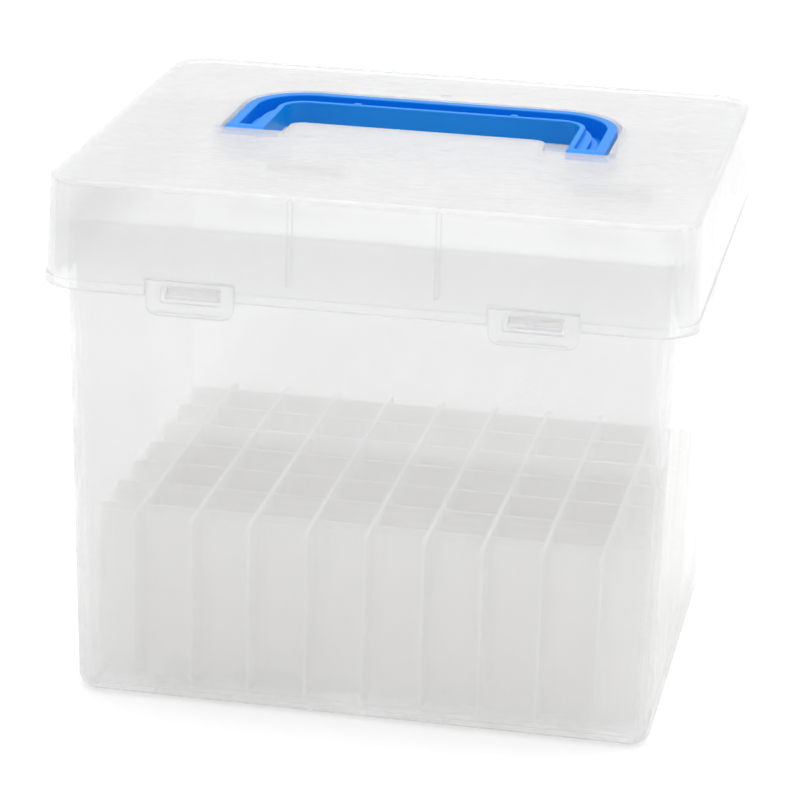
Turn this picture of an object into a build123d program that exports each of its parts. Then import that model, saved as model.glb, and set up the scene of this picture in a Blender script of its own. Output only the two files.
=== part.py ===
"""Divided carrying box for sample tubes, in translucent polypropylene.

A deep tub with a lift-out crate of crossed dividers, a deep-skirted lid on two rear hinges, two
snap tongues at the front, and a bail handle that folds flush into a recess of the lid.

Frame: +Z up, +X to the right, -Y to the front.  Origin at the centre of the underside.
All sizes are in millimetres.
"""
import os
from build123d import *

# ---- lid -------------------------------------------------------------------------------------
box_height = 190.0
lid_width = 220.0             # across the top face, along X
lid_depth = 185.0             # across the top face, along Y
skirt_height = 37.6
lid_draft = 1.1               # how much each side of the skirt leans out by its lower edge
lid_corner_radius = 15.0
lid_edge_radius = 2.5
wall = 2.0
bead_height = 3.5
bead_reach = 0.45
rib_x = 25.0
rib_width = 1.6
rib_reach = 2.0
rib_length = 29.0
gate_y = 57.0                 # the moulding gate's dish, behind the recess
gate_dish_radius = 2.2
gate_dish_depth = 0.4
gate_stub_radius = 0.9
gate_stub_height = 0.3

# ---- tub -------------------------------------------------------------------------------------
rim_z = 175.0
tub_top_half_x = 104.1        # outer faces, at the rim
tub_top_half_y = 87.0
tub_base_half_x = 101.7       # outer faces, produced down to the floor
tub_base_half_y = 81.4
tub_corner_radius = 7.0
tub_base_radius = 6.0
tub_inner_radius = 4.0
floor_thickness = 2.2
rim_bead_height = 4.0
rim_bead_reach = 0.8

# ---- crate of crossed dividers ---------------------------------------------------------------
long_divider_count = 9
long_divider_pitch = 20.5
cross_divider_count = 7
cross_divider_pitch = 21.33
divider_thickness = 1.6
slot_play = 0.1
long_divider_half_length = 76.0
cross_divider_half_length = 97.0
crate_lift = 0.4              # clearance between the crate and the floor
crate_top_z = 66.5
long_top_radius = 3.0
long_foot_radius = 8.0
cross_top_radius = 2.0
cross_foot_radius = 6.0

# ---- handle and its recess -------------------------------------------------------------------
recess_half_x = 69.2
recess_front_y = -9.0         # front edge of the two leg wells
recess_back_y = 51.6
recess_floor_z = 180.8
recess_back_radius = 24.5
well_inner_x = 45.8           # the lid's bridge between the two wells ends here
bridge_back_y = 5.0
bridge_corner_radius = 5.0
well_corner_radius = 1.5
bail_half_x = 67.7
bail_back_y = 50.0
bail_corner_radius = 23.0
bail_inner_half_x = 54.0
bail_inner_back_y = 35.0
bail_inner_radius = 8.0
bail_top_z = 189.8
bail_bottom_z = 181.1
bail_outer_wall = 3.8
bail_inner_wall = 2.2
bail_web = 2.0
pivot_y = -4.0
channel_front_y = -1.5
trunnion_radius = 2.0
trunnion_play = 0.08
trunnion_reach = 71.6         # x of the outer end of each trunnion
bail_rim_radius = 0.5
terrace_steps = ((59.7, 17.0, 1.8), (62.4, 14.0, 3.4))  # outer x, back y, drop below the rim
boss_x = 28.8                 # two round bosses on the grip's inner wall
boss_radius = 1.4
boss_rise = 0.1

# ---- snap tongues and catches ----------------------------------------------------------------
tongue_x = 58.0
tongue_width = 30.0
tongue_gap = 0.5
tongue_top_z = 158.0
tongue_bottom_z = 146.0
tongue_corner_radius = 3.5
window_width = 20.6
window_low_z = 150.4
window_high_z = 156.2
lip_height = 1.2
lip_reach = 0.7
catch_width = 18.0
catch_low_z = 151.2
catch_high_z = 155.4
catch_clearance = 0.4
catch_land = 1.4              # height of the catch's upright nose
window_radius = 0.8

# ---- rear hinges -----------------------------------------------------------------------------
hinge_x = 60.0
hinge_y = 92.6
hinge_z = 148.4
knuckle_radius = 4.0
knuckle_width = 16.0
ear_radius = 3.6
ear_width = 6.0
ear_gap = 0.4
hinge_pin_radius = 1.75
hinge_pin_play = 0.08
pin_head_radius = 2.8
pin_head_height = 1.0

# ---- derived sizes ---------------------------------------------------------------------------
skirt_z = box_height - skirt_height
skirt_half_x = lid_width / 2 + lid_draft
skirt_half_y = lid_depth / 2 + lid_draft
pivot_z = (bail_top_z + bail_bottom_z) / 2
leg_end_radius = (bail_top_z - bail_bottom_z) / 2
crate_bottom_z = floor_thickness + crate_lift
crate_middle_z = (crate_top_z + crate_bottom_z) / 2


def rounded_slab(half_x, half_y, radius, z):
    """A rounded rectangle lying at height z, as the section of a tapered block."""
    return Plane.XY.offset(z) * RectangleRounded(2 * half_x, 2 * half_y, radius)


def tapered_block(low, high):
    """A block lofted between two rounded rectangles, each (half_x, half_y, radius, z)."""
    return loft([rounded_slab(*low), rounded_slab(*high)])


def edges_at(solid, z):
    """The edges of a solid that lie in the plane at height z."""
    return solid.edges().filter_by_position(Axis.Z, z - 0.01, z + 0.01)


def box_between(low, high):
    """A box from its lowest to its highest corner."""
    size = [b - a for a, b in zip(low, high)]
    centre = [(a + b) / 2 for a, b in zip(low, high)]
    return Pos(*centre) * Box(*size)


def rod_along_x(x0, x1, y, z, radius):
    """A round rod that runs along X from x0 to x1."""
    return Pos((x0 + x1) / 2, y, z) * Rot(0, 90, 0) * Cylinder(radius, abs(x1 - x0))


def tub_section(z, inset):
    """The tub's outer section at height z, drawn in by inset."""
    share = z / rim_z
    half_x = tub_base_half_x + share * (tub_top_half_x - tub_base_half_x)
    half_y = tub_base_half_y + share * (tub_top_half_y - tub_base_half_y)
    return (half_x - inset, half_y - inset, tub_corner_radius - inset, z)


def skirt_section(z, inset):
    """The lid's outer section at height z, drawn in by inset."""
    share = (box_height - z) / skirt_height
    half_x = lid_width / 2 + share * lid_draft
    half_y = lid_depth / 2 + share * lid_draft
    return (half_x - inset, half_y - inset, lid_corner_radius - inset, z)


# ---- tub -------------------------------------------------------------------------------------
def front_catch(x):
    """The sloped ledge that a tongue's window snaps over."""
    nose_y = -(skirt_half_y - wall - catch_clearance)
    root_y = -(tub_section(catch_low_z, wall / 2)[1])
    profile = Polyline(
        (root_y, catch_low_z),
        (nose_y, catch_low_z),
        (nose_y, catch_low_z + catch_land),
        (root_y, catch_high_z),
        close=True,
    )
    face = Plane.YZ.offset(x - catch_width / 2) * make_face(profile)
    return extrude(face, catch_width, dir=(1, 0, 0))


def hinge_ears(x):
    """Two ears of the tub that hold one hinge pin."""
    ears = []
    for side in (-1, 1):
        inner = x + side * (knuckle_width / 2 + ear_gap)
        outer = inner + side * ear_width
        low_x, high_x = min(inner, outer), max(inner, outer)
        root_y = tub_section(hinge_z, wall / 2)[1]
        web = box_between(
            (low_x, root_y, hinge_z - ear_radius),
            (high_x, hinge_y, hinge_z + ear_radius),
        )
        ears.append(web + rod_along_x(low_x, high_x, hinge_y, hinge_z, ear_radius))
    return ears[0] + ears[1]


def make_body_shell():
    outer = tapered_block(tub_section(0.0, 0.0), tub_section(rim_z, 0.0))
    outer = fillet(edges_at(outer, 0.0), tub_base_radius)
    rim = tapered_block(
        tub_section(rim_z - rim_bead_height, -rim_bead_reach),
        tub_section(rim_z, -rim_bead_reach),
    )
    hollow = tapered_block(
        tub_section(floor_thickness, wall),
        tub_section(rim_z + 1.0, wall),
    )
    hollow = fillet(edges_at(hollow, floor_thickness), tub_inner_radius)
    shell = outer + rim
    for side in (-1, 1):
        shell += front_catch(side * tongue_x)
        shell += hinge_ears(side * hinge_x)
    shell -= hollow
    for side in (-1, 1):
        x = side * hinge_x
        reach = knuckle_width / 2 + ear_gap + ear_width + 1.0
        shell -= rod_along_x(x - reach, x + reach, hinge_y, hinge_z, hinge_pin_radius)
    return shell


# ---- lid -------------------------------------------------------------------------------------
def recess_outline():
    """Plan of the handle's recess: two leg wells, joined behind the bridge."""
    centre_y = (recess_front_y + recess_back_y) / 2
    plan = Pos(0, centre_y) * Rectangle(2 * recess_half_x, recess_back_y - recess_front_y)
    plan = fillet(plan.vertices().group_by(Axis.Y)[-1], recess_back_radius)
    bridge_depth = bridge_back_y - recess_front_y
    bridge = Pos(0, recess_front_y + bridge_depth / 2) * Rectangle(2 * well_inner_x, bridge_depth)
    bridge = fillet(bridge.vertices().group_by(Axis.Y)[-1], bridge_corner_radius)
    plan = plan - bridge
    return fillet(plan.vertices().group_by(Axis.Y)[0], well_corner_radius)


def hinge_knuckle(x):
    """The lid's half of a hinge, hanging from the rear skirt."""
    low_x, high_x = x - knuckle_width / 2, x + knuckle_width / 2
    barrel = rod_along_x(low_x, high_x, hinge_y, hinge_z, knuckle_radius)
    strap = box_between(
        (low_x, skirt_half_y - wall, hinge_z),
        (high_x, skirt_half_y, skirt_z + 2.0),
    )
    return barrel + strap


def front_rib(x):
    """A locating rib on the inner face of the front skirt."""
    face_y = -(lid_depth / 2 - wall)
    top = box_height - wall
    return box_between(
        (x - rib_width / 2, face_y - wall / 2, top - rib_length),
        (x + rib_width / 2, face_y + rib_reach, top),
    )


def tongue_notch(x):
    """The opening in the skirt's lower edge that a snap tongue fills."""
    half = tongue_width / 2 + tongue_gap
    return box_between(
        (x - half, -skirt_half_y - 2.0, skirt_z - 1.0),
        (x + half, -skirt_half_y + 2 * wall, tongue_top_z + tongue_gap),
    )


def gate_dish():
    """The shallow dish in the lid's top where the moulding gate was cut off."""
    dish = Cylinder(gate_dish_radius, 2 * gate_dish_depth)
    stub_z = -gate_dish_depth + gate_stub_height / 2
    stub = Pos(0, 0, stub_z) * Cylinder(gate_stub_radius, gate_stub_height)
    return Pos(0, gate_y, box_height) * (dish - stub)


def make_lid_shell():
    outer = tapered_block(skirt_section(skirt_z, 0.0), skirt_section(box_height, 0.0))
    outer = fillet(edges_at(outer, box_height), lid_edge_radius)
    bead = tapered_block(
        skirt_section(skirt_z, -bead_reach),
        skirt_section(skirt_z + bead_height, -bead_reach),
    )
    bead = fillet(edges_at(bead, skirt_z + bead_height), bead_reach * 0.8)
    hollow = tapered_block(
        skirt_section(skirt_z - 1.0, wall),
        skirt_section(box_height - wall, wall),
    )
    plan = recess_outline()
    pan_depth = box_height - recess_floor_z + wall
    pan = Pos(0, 0, recess_floor_z - wall) * extrude(offset(plan, wall), pan_depth - 0.5)
    recess = Pos(0, 0, recess_floor_z) * extrude(plan, box_height - recess_floor_z + 1.0)
    shell = outer + bead
    shell -= hollow
    shell += pan
    shell -= recess
    shell -= gate_dish()
    for side in (-1, 1):
        shell += front_rib(side * rib_x)
        shell += hinge_knuckle(side * hinge_x)
        shell -= tongue_notch(side * tongue_x)
    for side in (-1, 1):
        x = side * hinge_x
        reach = knuckle_width / 2 + 1.0
        hole_radius = hinge_pin_radius + hinge_pin_play
        shell -= rod_along_x(x - reach, x + reach, hinge_y, hinge_z, hole_radius)
        inner_end = side * (recess_half_x - 1.0)
        outer_end = side * (recess_half_x + wall + 1.0)
        hole_radius = trunnion_radius + trunnion_play
        shell -= rod_along_x(inner_end, outer_end, pivot_y, pivot_z, hole_radius)
    return shell


# ---- handle ----------------------------------------------------------------------------------
def bail_plan(outer_half_x, outer_back_y, outer_radius, inner_half_x, inner_back_y, inner_radius,
              front_y):
    """A U-shaped plan, open at the front, between an outer and an inner outline."""
    depth = outer_back_y - front_y
    plan = Pos(0, front_y + depth / 2) * Rectangle(2 * outer_half_x, depth)
    plan = fillet(plan.vertices().group_by(Axis.Y)[-1], outer_radius)
    gap_depth = inner_back_y - front_y
    gap = Pos(0, front_y + gap_depth / 2) * Rectangle(2 * inner_half_x, gap_depth)
    gap = fillet(gap.vertices().group_by(Axis.Y)[-1], inner_radius)
    return plan - gap


def leg_terrace(side, edge_x, arc_y, top_z):
    """A stepped pad that thickens the foot of a leg inside the channel."""
    root = (bail_inner_half_x + bail_inner_wall / 2, bail_inner_back_y - bail_inner_wall)
    front_y = channel_front_y - bail_inner_wall / 4
    floor_z = bail_bottom_z + bail_web / 2
    straight = Polyline(root, (root[0], front_y), (edge_x, front_y), (edge_x, arc_y))
    bend = TangentArc((edge_x, arc_y), root, tangent=(0, 1))
    pad = extrude(make_face([straight, bend]), top_z - floor_z)
    pad = Pos(0, 0, floor_z) * pad
    return pad if side > 0 else mirror(pad, about=Plane.YZ)


def grip_boss(x):
    """A round boss on the grip's inner wall, inside the channel."""
    low_z = bail_bottom_z + bail_web / 2
    height = bail_top_z + boss_rise - low_z
    y = bail_inner_back_y + bail_inner_wall
    return Pos(x, y, low_z + height / 2) * Cylinder(boss_radius, height)


def make_handle_bail():
    plan = bail_plan(
        bail_half_x, bail_back_y, bail_corner_radius,
        bail_inner_half_x, bail_inner_back_y, bail_inner_radius, pivot_y,
    )
    bail = Pos(0, 0, bail_bottom_z) * extrude(plan, bail_top_z - bail_bottom_z)
    channel = bail_plan(
        bail_half_x - bail_outer_wall,
        bail_back_y - bail_outer_wall,
        bail_corner_radius - bail_outer_wall,
        bail_inner_half_x + bail_inner_wall,
        bail_inner_back_y + bail_inner_wall,
        bail_inner_radius + bail_inner_wall,
        channel_front_y,
    )
    bail -= Pos(0, 0, bail_bottom_z + bail_web) * extrude(channel, bail_top_z)
    bail = fillet(edges_at(bail, bail_top_z), bail_rim_radius)
    bail = fillet(edges_at(bail, bail_bottom_z), bail_rim_radius)
    for side in (-1, 1):
        inner_x, outer_x = side * bail_inner_half_x, side * bail_half_x
        bail += rod_along_x(inner_x, outer_x, pivot_y, pivot_z, leg_end_radius)
        bail += rod_along_x(outer_x - side, side * trunnion_reach, pivot_y, pivot_z, trunnion_radius)
        bail += grip_boss(side * boss_x)
        for edge_x, arc_y, drop in terrace_steps:
            bail += leg_terrace(side, edge_x, arc_y, bail_top_z - drop)
    return bail


# ---- snap tongues ----------------------------------------------------------------------------
def make_tongue(x):
    """A snap tongue: a plate with a window for the catch and a lip for the finger."""
    height = tongue_top_z - tongue_bottom_z
    plan = Rectangle(tongue_width, height)
    plan = fillet(plan.vertices().group_by(Axis.Y)[0], tongue_corner_radius)
    window_height = window_high_z - window_low_z
    window_rise = (window_high_z + window_low_z) / 2 - (tongue_top_z + tongue_bottom_z) / 2
    plan -= Pos(0, window_rise) * RectangleRounded(window_width, window_height, window_radius)
    plate = extrude(plan, wall)
    lip_width = tongue_width - 2 * tongue_corner_radius
    lip_place = Pos(0, -height / 2 + lip_height / 2, wall + lip_reach / 2)
    tongue = plate + lip_place * Box(lip_width, lip_height, lip_reach)
    middle = (x, -skirt_half_y + wall, (tongue_top_z + tongue_bottom_z) / 2)
    return Plane(origin=middle, x_dir=(1, 0, 0), z_dir=(0, -1, 0)) * tongue


# ---- hinge pins ------------------------------------------------------------------------------
def make_hinge_pin(side):
    """A headed pin, pressed into the tub's ears from the middle of the box."""
    x = side * hinge_x
    reach = knuckle_width / 2 + ear_gap + ear_width
    inner_x = x - side * reach
    outer_x = x + side * reach
    shank = rod_along_x(inner_x, outer_x, hinge_y, hinge_z, hinge_pin_radius)
    head = rod_along_x(inner_x - side * pin_head_height, inner_x, hinge_y, hinge_z, pin_head_radius)
    return shank + head


# ---- dividers --------------------------------------------------------------------------------
def spread(count, pitch):
    """Positions of count pieces at an even pitch, centred on zero."""
    return [(index - (count - 1) / 2) * pitch for index in range(count)]


def divider_plate(half_length, top_radius, foot_radius):
    """Side view of a divider plate, with its own centre at zero."""
    height = crate_top_z - crate_bottom_z
    plan = Rectangle(2 * half_length, height)
    plan = fillet(plan.vertices().group_by(Axis.Y)[-1], top_radius)
    return fillet(plan.vertices().group_by(Axis.Y)[0], foot_radius)


def slot_row(positions, rise):
    """Half-height slots at the given positions, in the upper or lower half of a plate."""
    height = (crate_top_z - crate_bottom_z) / 2 + slot_play
    width = divider_thickness + 2 * slot_play
    return [Pos(at, rise) * Rectangle(width, height) for at in positions]


def make_long_divider(x, cross_positions):
    """A divider that runs front to back, slotted from below."""
    plan = divider_plate(long_divider_half_length, long_top_radius, long_foot_radius)
    for slot in slot_row(cross_positions, -(crate_top_z - crate_bottom_z) / 4):
        plan -= slot
    plate = extrude(plan, divider_thickness / 2, both=True)
    return Plane(origin=(x, 0, crate_middle_z), x_dir=(0, 1, 0), z_dir=(1, 0, 0)) * plate


def make_cross_divider(y, long_positions):
    """A divider that runs side to side, slotted from above."""
    plan = divider_plate(cross_divider_half_length, cross_top_radius, cross_foot_radius)
    for slot in slot_row(long_positions, (crate_top_z - crate_bottom_z) / 4):
        plan -= slot
    plate = extrude(plan, divider_thickness / 2, both=True)
    return Plane(origin=(0, y, crate_middle_z), x_dir=(1, 0, 0), z_dir=(0, -1, 0)) * plate


def make_parts():
    parts = {
        "body_shell": make_body_shell(),
        "lid_shell": make_lid_shell(),
        "handle_bail": make_handle_bail(),
        "latch_tongue_left": make_tongue(-tongue_x),
        "latch_tongue_right": make_tongue(tongue_x),
        "hinge_pin_left": make_hinge_pin(-1),
        "hinge_pin_right": make_hinge_pin(1),
    }
    long_positions = spread(long_divider_count, long_divider_pitch)
    cross_positions = spread(cross_divider_count, cross_divider_pitch)
    for number, x in enumerate(long_positions, start=1):
        parts[f"long_divider_{number}"] = make_long_divider(x, cross_positions)
    for number, y in enumerate(cross_positions, start=1):
        parts[f"cross_divider_{number}"] = make_cross_divider(y, long_positions)
    return parts


os.makedirs("parts", exist_ok=True)
for name, part in make_parts().items():
    export_step(part, f"parts/{name}.step")
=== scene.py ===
"""Finish and lighting of a divided tube box in translucent polypropylene."""

import math

import bpy
from bpy.props import (
    FloatProperty,
    FloatVectorProperty,
    PointerProperty,
)
from mathutils import Matrix, Vector


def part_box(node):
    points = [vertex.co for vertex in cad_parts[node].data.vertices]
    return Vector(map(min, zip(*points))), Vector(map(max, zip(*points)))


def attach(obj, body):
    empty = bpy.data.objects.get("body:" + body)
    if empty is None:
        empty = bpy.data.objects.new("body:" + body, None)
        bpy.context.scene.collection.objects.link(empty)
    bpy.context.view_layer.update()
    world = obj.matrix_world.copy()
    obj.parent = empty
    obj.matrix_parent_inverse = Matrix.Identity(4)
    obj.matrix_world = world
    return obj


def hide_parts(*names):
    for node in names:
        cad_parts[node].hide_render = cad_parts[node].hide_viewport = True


bl_info = {
    "name": "Divided Tube Box",
    "version": (1, 0, 0),
    "blender": (4, 5, 0),
    "location": "3D View > Sidebar > Tube Box",
    "description": "Finishes the tub, lid, handle and crate of a divided tube box, and lights it",
    "category": "Object",
}

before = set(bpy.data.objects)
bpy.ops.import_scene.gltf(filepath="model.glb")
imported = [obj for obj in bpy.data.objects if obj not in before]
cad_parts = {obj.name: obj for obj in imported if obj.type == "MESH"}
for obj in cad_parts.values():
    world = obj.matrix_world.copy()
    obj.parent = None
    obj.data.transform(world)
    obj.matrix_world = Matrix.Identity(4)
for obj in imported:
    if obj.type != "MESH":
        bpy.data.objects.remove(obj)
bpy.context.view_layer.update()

MM = 0.001
WHITE = (1.0, 1.0, 1.0, 1.0)
BOX_MIDDLE = (0.0, 0.0, 0.1)

# patterns in the plastic, in features per metre unless stated otherwise
PATTERN_RANGE = (0.15, 0.85)  # the part of a noise pattern's 0 to 1 that it mostly stays in
CLOUD_SCALE = 22.0
FLOW_SCALE = (60.0, 60.0, 9.0)
PEEL_SCALE = 900.0
RIPPLE_SCALE = 140.0
RIPPLE_SHARE = 3.0  # height of the broad ripple against the fine peel
BUMP_STRENGTH = 0.35
PLASTIC_IOR = 1.49

# meshing of the divider plates
CORNER_POINTS = 6
WELD_DISTANCE = 0.01 * MM
EDGE_SEGMENTS = 2
SHARP_ANGLE = math.radians(50.0)

LONG_DIVIDERS = [f"long_divider_{i}" for i in range(1, 10)]
CROSS_DIVIDERS = [f"cross_divider_{i}" for i in range(1, 8)]


# ---- sizes and finishes ----------------------------------------------------------------------
class TubeBoxCrate(bpy.types.PropertyGroup):
    """Sizes of the crossed dividers."""

    thickness: FloatProperty(
        name="Thickness", description="Thickness of a divider plate",
        default=1.6 * MM, min=0.5 * MM, unit="LENGTH", subtype="DISTANCE")
    long_pitch: FloatProperty(
        name="Long pitch", description="Spacing of the plates that run front to back",
        default=20.5 * MM, unit="LENGTH", subtype="DISTANCE")
    cross_pitch: FloatProperty(
        name="Cross pitch", description="Spacing of the plates that run side to side",
        default=21.33 * MM, unit="LENGTH", subtype="DISTANCE")
    slot_play: FloatProperty(
        name="Slot play", description="How much wider a slot is than the plate in it, on each side",
        default=0.1 * MM, unit="LENGTH", subtype="DISTANCE")
    edge_round: FloatProperty(
        name="Edge rounding", description="Rounding of the plates' long edges",
        default=0.3 * MM, unit="LENGTH", subtype="DISTANCE")
    long_top_radius: FloatProperty(
        name="Long top radius", description="Corner radius at the top of a long plate",
        default=3.0 * MM, unit="LENGTH", subtype="DISTANCE")
    long_foot_radius: FloatProperty(
        name="Long foot radius", description="Corner radius at the foot of a long plate",
        default=8.0 * MM, unit="LENGTH", subtype="DISTANCE")
    cross_top_radius: FloatProperty(
        name="Cross top radius", description="Corner radius at the top of a cross plate",
        default=2.0 * MM, unit="LENGTH", subtype="DISTANCE")
    cross_foot_radius: FloatProperty(
        name="Cross foot radius", description="Corner radius at the foot of a cross plate",
        default=6.0 * MM, unit="LENGTH", subtype="DISTANCE")


class TubeBoxFinish(bpy.types.PropertyGroup):
    """Colours and gloss of the plastics."""

    clear_colour: FloatVectorProperty(
        name="Clear plastic", description="Colour of the tub and lid",
        default=(0.96, 0.96, 0.965), size=3, subtype="COLOR", min=0.0, max=1.0)
    divider_colour: FloatVectorProperty(
        name="Divider plastic", description="Colour of the divider plates",
        default=(1.0, 0.995, 0.98), size=3, subtype="COLOR", min=0.0, max=1.0)
    handle_colour: FloatVectorProperty(
        name="Handle plastic", description="Colour of the bail handle",
        default=(0.0, 0.24, 0.78), size=3, subtype="COLOR", min=0.0, max=1.0)
    pin_colour: FloatVectorProperty(
        name="Pin plastic", description="Colour of the hinge pins",
        default=(0.88, 0.88, 0.86), size=3, subtype="COLOR", min=0.0, max=1.0)
    tub_roughness: FloatProperty(
        name="Tub roughness", description="Surface roughness of the tub",
        default=0.2, min=0.0, max=1.0, subtype="FACTOR")
    lid_roughness: FloatProperty(
        name="Lid roughness", description="Surface roughness of the lid and tongues",
        default=0.21, min=0.0, max=1.0, subtype="FACTOR")
    divider_roughness: FloatProperty(
        name="Divider roughness", description="Surface roughness of the dividers",
        default=0.4, min=0.0, max=1.0, subtype="FACTOR")
    handle_roughness: FloatProperty(
        name="Handle roughness", description="Surface roughness of the handle",
        default=0.36, min=0.0, max=1.0, subtype="FACTOR")
    pin_roughness: FloatProperty(
        name="Pin roughness", description="Surface roughness of the hinge pins",
        default=0.4, min=0.0, max=1.0, subtype="FACTOR")
    tub_grain: FloatProperty(
        name="Tub grain", description="Depth of the orange peel on the tub",
        default=0.12 * MM, min=0.0, unit="LENGTH", subtype="DISTANCE")
    lid_grain: FloatProperty(
        name="Lid grain", description="Depth of the orange peel on the lid and tongues",
        default=0.15 * MM, min=0.0, unit="LENGTH", subtype="DISTANCE")
    small_part_grain: FloatProperty(
        name="Small part grain",
        description="Depth of the orange peel on the handle, dividers and pins",
        default=0.1 * MM, min=0.0, unit="LENGTH", subtype="DISTANCE")
    tub_haze: FloatProperty(
        name="Tub haze", description="Share of light that each face of the tub's wall scatters",
        default=0.6, min=0.0, max=1.0, subtype="FACTOR")
    lid_haze: FloatProperty(
        name="Lid haze", description="Share of light that each face of the lid's wall scatters",
        default=0.62, min=0.0, max=1.0, subtype="FACTOR")
    divider_haze: FloatProperty(
        name="Divider haze", description="Share of light that each face of a divider scatters",
        default=0.93, min=0.0, max=1.0, subtype="FACTOR")
    tub_clarity: FloatProperty(
        name="Tub clarity",
        description="Share of the scattered light that passes on through the tub",
        default=0.6, min=0.0, max=1.0, subtype="FACTOR")
    lid_clarity: FloatProperty(
        name="Lid clarity",
        description="Share of the scattered light that passes on through the lid",
        default=0.6, min=0.0, max=1.0, subtype="FACTOR")


class TubeBoxStage(bpy.types.PropertyGroup):
    """Camera, floor and lights."""

    focal_length: FloatProperty(
        name="Focal length", description="Focal length of the camera's lens, in millimetres",
        default=152.34, min=10.0)
    eye: FloatVectorProperty(
        name="Camera place", description="Where the camera stands",
        default=(0.210916, -1.137194, 0.49239), size=3, unit="LENGTH", subtype="TRANSLATION")
    heading: FloatProperty(
        name="Heading", description="How far the camera is turned to the left",
        default=math.radians(10.66471), unit="ROTATION", subtype="ANGLE")
    tilt: FloatProperty(
        name="Tilt", description="How far the camera looks down",
        default=math.radians(19.14185), unit="ROTATION", subtype="ANGLE")
    roll: FloatProperty(
        name="Roll", description="How far the camera is rolled anticlockwise",
        default=math.radians(1.59182), unit="ROTATION", subtype="ANGLE")
    floor_size: FloatProperty(
        name="Floor size", description="Width of the floor",
        default=6.0, min=1.0, unit="LENGTH", subtype="DISTANCE")
    room_light: FloatProperty(
        name="Room light", description="Brightness of the even light from all around",
        default=0.7, min=0.0)
    backdrop_light: FloatProperty(
        name="Backdrop", description="Brightness of the room behind the box",
        default=1.0, min=0.0)
    floor_glow: FloatProperty(
        name="Floor glow", description="Light that the floor gives off by itself",
        default=0.2, min=0.0)
    key_power: FloatProperty(
        name="Key light", description="Power of the large soft lamp overhead, in watts",
        default=18.0, min=0.0)
    key_size: FloatProperty(
        name="Key light size", description="Width of the lamp overhead",
        default=1.6, min=0.1, unit="LENGTH", subtype="DISTANCE")
    key_place: FloatVectorProperty(
        name="Key light place", description="Where the lamp overhead hangs",
        default=(0.1, 0.25, 1.6), size=3, unit="LENGTH", subtype="TRANSLATION")
    side_size: FloatProperty(
        name="Side light size", description="Width of the lamp at the front right",
        default=0.5, min=0.1, unit="LENGTH", subtype="DISTANCE")
    side_place: FloatVectorProperty(
        name="Side light place", description="Where the lamp at the front right stands",
        default=(1.0, -1.0, 0.6), size=3, unit="LENGTH", subtype="TRANSLATION")
    side_power: FloatProperty(
        name="Side light", description="Power of the soft lamp at the front right, in watts",
        default=0.5, min=0.0)


def settings(name):
    """The named group of settings of the current scene."""
    return getattr(bpy.context.scene, name)


# ---- node helpers ----------------------------------------------------------------------------
def add(tree, kind, inputs=None, **attributes):
    """Adds a node; inputs take a socket to link or a plain value."""
    node = tree.nodes.new(kind)
    for key, value in attributes.items():
        setattr(node, key, value)
    for key, value in (inputs or {}).items():
        if isinstance(value, bpy.types.NodeSocket):
            tree.links.new(value, node.inputs[key])
        else:
            node.inputs[key].default_value = value
    return node


def calculate(tree, operation, *values):
    """A Math node's result."""
    return add(tree, "ShaderNodeMath", dict(enumerate(values)), operation=operation).outputs[0]


def new_material(name):
    """A material with an empty node tree and its output node."""
    material = bpy.data.materials.new(name)
    material.use_nodes = True
    tree = material.node_tree
    tree.nodes.clear()
    output = add(tree, "ShaderNodeOutputMaterial")
    return material, tree, output


def noise(tree, place, scale, detail=2.0, roughness=0.5):
    """The value of a noise pattern at the given scale, in features per metre."""
    node = add(tree, "ShaderNodeTexNoise", {
        "Vector": place, "Scale": scale, "Detail": detail, "Roughness": roughness})
    return node.outputs["Fac"]


def remap(tree, value, low, high):
    """Spreads a pattern's middle range between two values."""
    node = add(tree, "ShaderNodeMapRange", {
        "Value": value,
        "From Min": PATTERN_RANGE[0], "From Max": PATTERN_RANGE[1],
        "To Min": low, "To Max": high})
    return node.outputs[0]


def tint(tree, pattern, dark, light):
    """A colour that a pattern moves between two tints."""
    node = add(tree, "ShaderNodeMix", {0: pattern}, data_type="RGBA")
    node.inputs[6].default_value = (*dark, 1.0)
    node.inputs[7].default_value = (*light, 1.0)
    return node.outputs[2]


def moulded_plastic(name, colour, roughness, grain_depth, haze=1.0, clarity=0.0,
                    milk=0.01, gloss_change=0.05, shine=0.5):
    """Moulded plastic: cloudy inside, with flow marks and a fine orange-peel surface."""
    material, tree, output = new_material(name)
    place = add(tree, "ShaderNodeTexCoord").outputs["Object"]
    cloud = remap(tree, noise(tree, place, CLOUD_SCALE, 3.0), 0.0, 1.0)
    darker = [max(c - milk, 0.0) for c in colour]
    base = tint(tree, cloud, darker, colour)
    flow = add(tree, "ShaderNodeMapping", {"Vector": place, "Scale": FLOW_SCALE})
    flow_marks = noise(tree, flow.outputs[0], 1.0, 4.0, 0.6)
    gloss = remap(tree, flow_marks, roughness - gloss_change, roughness + gloss_change)
    peel = noise(tree, place, PEEL_SCALE, 2.0)
    ripple = noise(tree, place, RIPPLE_SCALE, 1.0)
    height = calculate(tree, "MULTIPLY_ADD", ripple, RIPPLE_SHARE, peel)
    bump = add(tree, "ShaderNodeBump", {
        "Height": height, "Strength": BUMP_STRENGTH, "Distance": grain_depth})
    shader = add(tree, "ShaderNodeBsdfPrincipled", {
        "Base Color": base,
        "Roughness": gloss,
        "Normal": bump.outputs[0],
        "Transmission Weight": clarity,
        "Specular IOR Level": shine,
        "IOR": PLASTIC_IOR,
        "Alpha": haze,
    })
    tree.links.new(shader.outputs[0], output.inputs["Surface"])
    return material


def give(node, material):
    """Puts a material on a CAD node's or a piece's slots."""
    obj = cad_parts.get(node) if isinstance(node, str) else node
    if obj is None:
        raise RuntimeError(f"no node named {node}")
    if not obj.material_slots:
        obj.data.materials.append(material)
    for slot in obj.material_slots:
        slot.material = material


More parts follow.
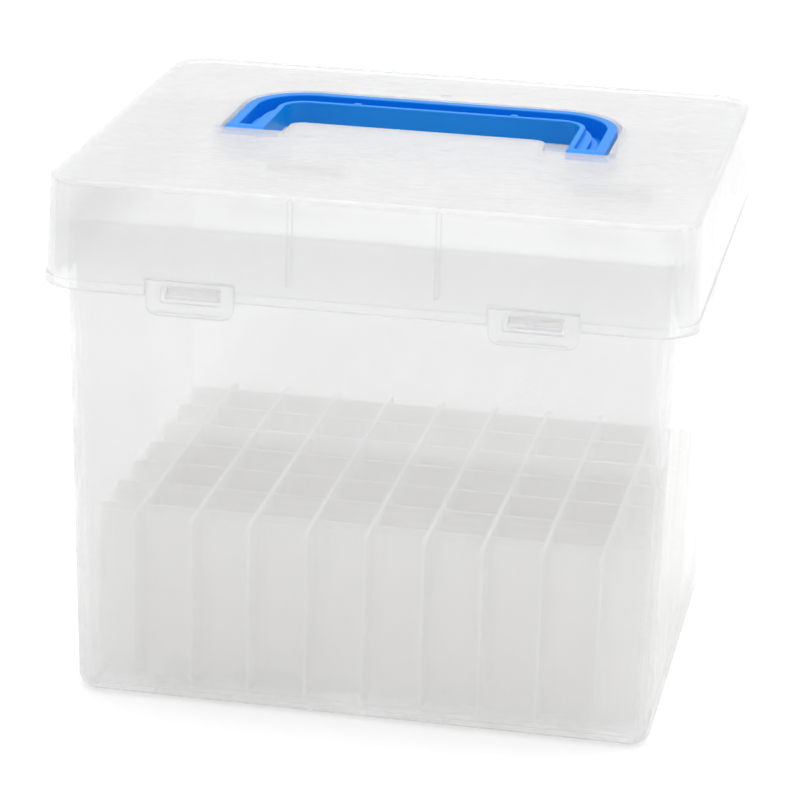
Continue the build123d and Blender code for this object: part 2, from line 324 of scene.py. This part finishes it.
# ---- dividers --------------------------------------------------------------------------------
PLATE_INPUTS = (
    ("Plates", "NodeSocketInt"),
    ("Plate Spacing", "NodeSocketVector"),
    ("Slots", "NodeSocketInt"),
    ("Slot Pitch", "NodeSocketFloat"),
    ("Slot Width", "NodeSocketFloat"),
    ("Slot End", "NodeSocketFloat"),
    ("Slotted Edge", "NodeSocketFloat"),
    ("Plain Edge", "NodeSocketFloat"),
    ("Half Length", "NodeSocketFloat"),
    ("Slotted Radius", "NodeSocketFloat"),
    ("Plain Radius", "NodeSocketFloat"),
    ("Thickness", "NodeSocketFloat"),
    ("Turn", "NodeSocketVector"),
    ("Plastic", "NodeSocketMaterial"),
)


def choose(tree, test, when_false, when_true):
    """A number that depends on a test."""
    node = add(tree, "GeometryNodeSwitch", {0: test, 1: when_false, 2: when_true},
               input_type="FLOAT")
    return node.outputs[0]


def compare(tree, operation, a, b):
    """A test between two numbers."""
    node = add(tree, "FunctionNodeCompare", {0: a, 1: b}, data_type="FLOAT",
               operation=operation)
    return node.outputs[0]


def slotted_plates_tree():
    """A row of equal plates with a row of half-height slots along one edge."""
    tree = bpy.data.node_groups.new("Slotted Plates", "GeometryNodeTree")
    sockets = tree.interface
    sockets.new_socket("Geometry", in_out="INPUT", socket_type="NodeSocketGeometry")
    for name, kind in PLATE_INPUTS:
        sockets.new_socket(name, in_out="INPUT", socket_type=kind)
    sockets.new_socket("Geometry", in_out="OUTPUT", socket_type="NodeSocketGeometry")
    given = add(tree, "NodeGroupInput").outputs
    result = add(tree, "NodeGroupOutput")

    index = add(tree, "GeometryNodeInputIndex").outputs[0]
    slots = given["Slots"]
    corners = calculate(tree, "MULTIPLY_ADD", slots, 4.0, 4.0)
    step = calculate(tree, "SUBTRACT", index, 1.0)
    slot = calculate(tree, "FLOOR", calculate(tree, "DIVIDE", step, 4.0))
    corner = calculate(tree, "FLOORED_MODULO", step, 4.0)
    middle = calculate(tree, "MULTIPLY_ADD", slots, -0.5, 0.5)
    centre = calculate(tree, "MULTIPLY", calculate(tree, "ADD", slot, middle), given["Slot Pitch"])
    half_slot = calculate(tree, "MULTIPLY", given["Slot Width"], 0.5)
    past_middle = compare(tree, "GREATER_THAN", corner, 1.5)
    side = choose(tree, past_middle, calculate(tree, "MULTIPLY", half_slot, -1.0), half_slot)
    slot_x = calculate(tree, "ADD", centre, side)
    off_middle = calculate(tree, "ABSOLUTE", calculate(tree, "SUBTRACT", corner, 1.5))
    at_end = compare(tree, "LESS_THAN", off_middle, 1.0)
    slot_y = choose(tree, at_end, given["Slotted Edge"], given["Slot End"])

    from_end = calculate(tree, "SUBTRACT", corners, index)
    on_plain = compare(tree, "LESS_THAN", from_end, 2.5)
    y = choose(tree, on_plain, slot_y, given["Plain Edge"])
    right_end = compare(tree, "LESS_THAN", from_end, 3.5)
    x = choose(tree, right_end, slot_x, given["Half Length"])
    left = calculate(tree, "MULTIPLY", given["Half Length"], -1.0)
    x = choose(tree, compare(tree, "LESS_THAN", from_end, 1.5), x, left)
    x = choose(tree, compare(tree, "LESS_THAN", index, 0.5), x, left)
    radius = choose(tree, on_plain, 0.0, given["Plain Radius"])
    off_right = calculate(tree, "ABSOLUTE", calculate(tree, "SUBTRACT", from_end, 3.0))
    low_right = compare(tree, "LESS_THAN", off_right, 0.5)
    radius = choose(tree, low_right, radius, given["Slotted Radius"])
    radius = choose(tree, compare(tree, "LESS_THAN", index, 0.5), radius, given["Slotted Radius"])

    line = add(tree, "GeometryNodeMeshLine", {"Count": corners})
    spot = add(tree, "ShaderNodeCombineXYZ", {0: x, 1: y})
    outline = add(tree, "GeometryNodeSetPosition", {
        "Geometry": line.outputs[0], "Position": spot.outputs[0]})
    curve = add(tree, "GeometryNodeMeshToCurve", {0: outline.outputs[0]})
    closed = add(tree, "GeometryNodeSetSplineCyclic", {
        "Geometry": curve.outputs[0], "Cyclic": True})
    rounded = add(tree, "GeometryNodeFilletCurve", {
        "Curve": closed.outputs[0], "Radius": radius, "Limit Radius": True, "Count": CORNER_POINTS},
        mode="POLY")
    fill = add(tree, "GeometryNodeFillCurve", {"Curve": rounded.outputs[0]}, mode="NGONS")
    extruded = add(tree, "GeometryNodeExtrudeMesh", {
        "Mesh": fill.outputs[0], "Offset": (0.0, 0.0, 1.0),
        "Offset Scale": given["Thickness"], "Individual": False})
    back = add(tree, "GeometryNodeFlipFaces", {0: fill.outputs[0]})
    both = add(tree, "GeometryNodeJoinGeometry")
    tree.links.new(extruded.outputs[0], both.inputs[0])
    tree.links.new(back.outputs[0], both.inputs[0])
    plate = add(tree, "GeometryNodeMergeByDistance", {
        "Geometry": both.outputs[0], "Distance": WELD_DISTANCE})
    half_thick = calculate(tree, "MULTIPLY", given["Thickness"], -0.5)
    centring = add(tree, "ShaderNodeCombineXYZ", {2: half_thick})
    centred = add(tree, "GeometryNodeTransform", {
        "Geometry": plate.outputs[0], "Translation": centring.outputs[0]})
    turned = add(tree, "GeometryNodeTransform", {
        "Geometry": centred.outputs[0], "Rotation": given["Turn"]})

    plates = given["Plates"]
    first = calculate(tree, "MULTIPLY_ADD", plates, -0.5, 0.5)
    order = calculate(tree, "ADD", index, first)
    along = add(tree, "ShaderNodeVectorMath", {0: given["Plate Spacing"], "Scale": order},
                operation="SCALE")
    points = add(tree, "GeometryNodePoints", {"Count": plates, "Position": along.outputs[0]})
    row = add(tree, "GeometryNodeInstanceOnPoints", {
        "Points": points.outputs[0], "Instance": turned.outputs[0]})
    real = add(tree, "GeometryNodeRealizeInstances", {0: row.outputs[0]})
    finished = add(tree, "GeometryNodeSetMaterial", {
        "Geometry": real.outputs[0], "Material": given["Plastic"]})
    tree.links.new(finished.outputs[0], result.inputs[0])
    return tree


def build_plates(tree, name, values, rounding):
    """A row of slotted plates as a plain mesh, with its edges rounded."""
    maker = bpy.data.objects.new(name + "_maker", bpy.data.meshes.new(name + "_maker"))
    bpy.context.scene.collection.objects.link(maker)
    modifier = maker.modifiers.new("Plates", "NODES")
    modifier.node_group = tree
    for item in tree.interface.items_tree:
        if item.in_out == "INPUT" and item.name in values:
            modifier[item.identifier] = values[item.name]
    bevel = maker.modifiers.new("Edges", "BEVEL")
    bevel.width = rounding
    bevel.segments = EDGE_SEGMENTS
    bevel.limit_method = "ANGLE"
    bevel.angle_limit = SHARP_ANGLE
    bevel.harden_normals = False
    bpy.context.view_layer.update()
    evaluated = maker.evaluated_get(bpy.context.evaluated_depsgraph_get())
    mesh = bpy.data.meshes.new_from_object(evaluated)
    bpy.data.objects.remove(maker)
    if not mesh.polygons:
        raise RuntimeError(f"{name} came out empty")
    mesh.name = name
    piece = bpy.data.objects.new(name, mesh)
    bpy.context.scene.collection.objects.link(piece)
    return piece


# ---- operators -------------------------------------------------------------------------------
class TUBEBOX_OT_tub(bpy.types.Operator):
    """Gives the tub its clear, faintly milky finish"""
    bl_idname = "tubebox.tub"
    bl_label = "Finish tub"

    def execute(self, context):
        finish = settings("tubebox_finish")
        plastic = moulded_plastic("clear_polypropylene", finish.clear_colour,
                                  finish.tub_roughness, finish.tub_grain,
                                  haze=finish.tub_haze, clarity=finish.tub_clarity)
        give("body_shell", plastic)
        return {"FINISHED"}


class TUBEBOX_OT_lid(bpy.types.Operator):
    """Gives the lid and its two snap tongues their milky finish"""
    bl_idname = "tubebox.lid"
    bl_label = "Finish lid"

    def execute(self, context):
        finish = settings("tubebox_finish")
        plastic = moulded_plastic("lid_polypropylene", finish.clear_colour,
                                  finish.lid_roughness, finish.lid_grain,
                                  haze=finish.lid_haze, clarity=finish.lid_clarity)
        for node in ("lid_shell", "latch_tongue_left", "latch_tongue_right"):
            give(node, plastic)
        return {"FINISHED"}


class TUBEBOX_OT_handle(bpy.types.Operator):
    """Gives the bail handle its blue semi-gloss finish"""
    bl_idname = "tubebox.handle"
    bl_label = "Finish handle"

    def execute(self, context):
        finish = settings("tubebox_finish")
        plastic = moulded_plastic("blue_polypropylene", finish.handle_colour,
                                  finish.handle_roughness, finish.small_part_grain, shine=0.3)
        give("handle_bail", plastic)
        return {"FINISHED"}


class TUBEBOX_OT_pins(bpy.types.Operator):
    """Gives the hinge pins their nylon finish"""
    bl_idname = "tubebox.pins"
    bl_label = "Finish hinge pins"

    def execute(self, context):
        finish = settings("tubebox_finish")
        plastic = moulded_plastic("white_nylon", finish.pin_colour,
                                  finish.pin_roughness, finish.small_part_grain)
        for node in ("hinge_pin_left", "hinge_pin_right"):
            give(node, plastic)
        return {"FINISHED"}


class TUBEBOX_OT_crate(bpy.types.Operator):
    """Builds the crate's two sets of crossed divider plates"""
    bl_idname = "tubebox.crate"
    bl_label = "Build crate"

    def execute(self, context):
        sizes = settings("tubebox_crate")
        finish = settings("tubebox_finish")
        plastic = moulded_plastic("divider_polypropylene", finish.divider_colour,
                                  finish.divider_roughness, finish.small_part_grain,
                                  haze=finish.divider_haze, milk=0.004)
        tree = slotted_plates_tree()
        low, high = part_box(LONG_DIVIDERS[0])
        cross_low, cross_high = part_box(CROSS_DIVIDERS[0])
        middle = (low.z + high.z) / 2
        shared = {
            "Slot Width": sizes.thickness + 2 * sizes.slot_play,
            "Thickness": sizes.thickness,
            "Plastic": plastic,
        }
        long_values = dict(shared, **{
            "Plates": len(LONG_DIVIDERS),
            "Plate Spacing": (sizes.long_pitch, 0.0, 0.0),
            "Slots": len(CROSS_DIVIDERS),
            "Slot Pitch": sizes.cross_pitch,
            "Slot End": middle + sizes.slot_play / 2,
            "Slotted Edge": low.z,
            "Plain Edge": high.z,
            "Half Length": high.y,
            "Slotted Radius": sizes.long_foot_radius,
            "Plain Radius": sizes.long_top_radius,
            "Turn": (math.pi / 2, 0.0, math.pi / 2),
        })
        cross_values = dict(shared, **{
            "Plates": len(CROSS_DIVIDERS),
            "Plate Spacing": (0.0, sizes.cross_pitch, 0.0),
            "Slots": len(LONG_DIVIDERS),
            "Slot Pitch": sizes.long_pitch,
            "Slot End": middle - sizes.slot_play / 2,
            "Slotted Edge": cross_high.z,
            "Plain Edge": cross_low.z,
            "Half Length": cross_high.x,
            "Slotted Radius": sizes.cross_top_radius,
            "Plain Radius": sizes.cross_foot_radius,
            "Turn": (math.pi / 2, 0.0, 0.0),
        })
        for name, values, nodes in (
            ("long_dividers", long_values, LONG_DIVIDERS),
            ("cross_dividers", cross_values, CROSS_DIVIDERS),
        ):
            piece = build_plates(tree, name, values, sizes.edge_round)
            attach(piece, "crate")
            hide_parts(*nodes)
        return {"FINISHED"}


class TUBEBOX_OT_stage(bpy.types.Operator):
    """Sets up the pale floor, the soft light and the camera"""
    bl_idname = "tubebox.stage"
    bl_label = "Set up stage"

    def execute(self, context):
        stage = settings("tubebox_stage")
        self.add_floor(stage)
        self.add_room_light(stage)
        self.add_lamp("overhead_light", stage.key_power, stage.key_size, stage.key_place)
        self.add_lamp("side_light", stage.side_power, stage.side_size, stage.side_place)
        self.add_camera(stage)
        self.let_light_through()
        return {"FINISHED"}

    def add_floor(self, stage):
        half = stage.floor_size / 2
        mesh = bpy.data.meshes.new("floor")
        mesh.from_pydata([(-half, -half, 0), (half, -half, 0), (half, half, 0), (-half, half, 0)],
                         [], [(0, 1, 2, 3)])
        floor = bpy.data.objects.new("floor", mesh)
        bpy.context.scene.collection.objects.link(floor)
        material, tree, output = new_material("pale_floor")
        place = add(tree, "ShaderNodeTexCoord").outputs["Object"]
        base = tint(tree, noise(tree, place, 3.0), (0.93, 0.93, 0.93), (0.95, 0.95, 0.95))
        shader = add(tree, "ShaderNodeBsdfPrincipled", {"Base Color": base, "Roughness": 0.9})
        shader.inputs["Specular IOR Level"].default_value = 0.0
        shader.inputs["Emission Color"].default_value = WHITE
        shader.inputs["Emission Strength"].default_value = stage.floor_glow
        tree.links.new(shader.outputs[0], output.inputs["Surface"])
        floor.data.materials.append(material)

    def add_room_light(self, stage):
        world = bpy.data.worlds.new("room")
        bpy.context.scene.world = world
        world.use_nodes = True
        tree = world.node_tree
        tree.nodes.clear()
        output = add(tree, "ShaderNodeOutputWorld")
        room = add(tree, "ShaderNodeBackground", {"Strength": stage.room_light})
        room.inputs["Color"].default_value = WHITE
        seen = add(tree, "ShaderNodeBackground", {"Strength": stage.backdrop_light})
        seen.inputs["Color"].default_value = WHITE
        direct = add(tree, "ShaderNodeLightPath").outputs["Is Camera Ray"]
        mixed = add(tree, "ShaderNodeMixShader", {
            0: direct, 1: room.outputs[0], 2: seen.outputs[0]})
        tree.links.new(mixed.outputs[0], output.inputs["Surface"])

    def add_lamp(self, name, power, size, place):
        light = bpy.data.lights.new(name, "AREA")
        light.shape = "SQUARE"
        light.size = size
        light.energy = power
        lamp = bpy.data.objects.new(name, light)
        lamp.location = place
        aim = Vector(BOX_MIDDLE) - Vector(place)
        lamp.rotation_euler = aim.to_track_quat("-Z", "Y").to_euler()
        bpy.context.scene.collection.objects.link(lamp)

    def add_camera(self, stage):
        data = bpy.data.cameras.new("camera")
        data.lens = stage.focal_length
        data.sensor_width = 36.0
        data.clip_start = 0.05
        camera = bpy.data.objects.new("camera", data)
        turn = (Matrix.Rotation(stage.heading, 4, "Z")
                @ Matrix.Rotation(math.pi / 2 - stage.tilt, 4, "X")
                @ Matrix.Rotation(stage.roll, 4, "Z"))
        camera.matrix_world = Matrix.Translation(Vector(stage.eye)) @ turn
        bpy.context.scene.collection.objects.link(camera)
        bpy.context.scene.camera = camera
        bpy.context.scene.view_settings.view_transform = "Standard"

    def let_light_through(self):
        """Allows the many bounces that light makes between translucent walls."""
        cycles = bpy.context.scene.cycles
        cycles.max_bounces = 32
        cycles.diffuse_bounces = 16
        cycles.transmission_bounces = 32
        cycles.glossy_bounces = 24
        cycles.transparent_max_bounces = 64


class TUBEBOX_PT_panel(bpy.types.Panel):
    """Lists the pieces of the box and the stage"""
    bl_idname = "TUBEBOX_PT_panel"
    bl_label = "Tube Box"
    bl_space_type = "VIEW_3D"
    bl_region_type = "UI"
    bl_category = "Tube Box"

    def draw(self, context):
        layout = self.layout
        for group in (context.scene.tubebox_crate, context.scene.tubebox_finish,
                      context.scene.tubebox_stage):
            box = layout.box()
            for name in group.__annotations__:
                box.prop(group, name)
        for operator in OPERATORS:
            layout.operator(operator.bl_idname)


GROUPS = {
    "tubebox_crate": TubeBoxCrate,
    "tubebox_finish": TubeBoxFinish,
    "tubebox_stage": TubeBoxStage,
}
OPERATORS = (
    TUBEBOX_OT_tub,
    TUBEBOX_OT_lid,
    TUBEBOX_OT_handle,
    TUBEBOX_OT_pins,
    TUBEBOX_OT_crate,
    TUBEBOX_OT_stage,
)


def register():
    for name, group in GROUPS.items():
        bpy.utils.register_class(group)
        setattr(bpy.types.Scene, name, PointerProperty(type=group))
    for operator in OPERATORS:
        bpy.utils.register_class(operator)
    bpy.utils.register_class(TUBEBOX_PT_panel)


def unregister():
    bpy.utils.unregister_class(TUBEBOX_PT_panel)
    for operator in reversed(OPERATORS):
        bpy.utils.unregister_class(operator)
    for name, group in GROUPS.items():
        delattr(bpy.types.Scene, name)
        bpy.utils.unregister_class(group)


def main():
    register()
    bpy.ops.tubebox.tub()
    bpy.ops.tubebox.lid()
    bpy.ops.tubebox.handle()
    bpy.ops.tubebox.pins()
    bpy.ops.tubebox.crate()
    bpy.ops.tubebox.stage()


if __name__ == "__main__":
    main()
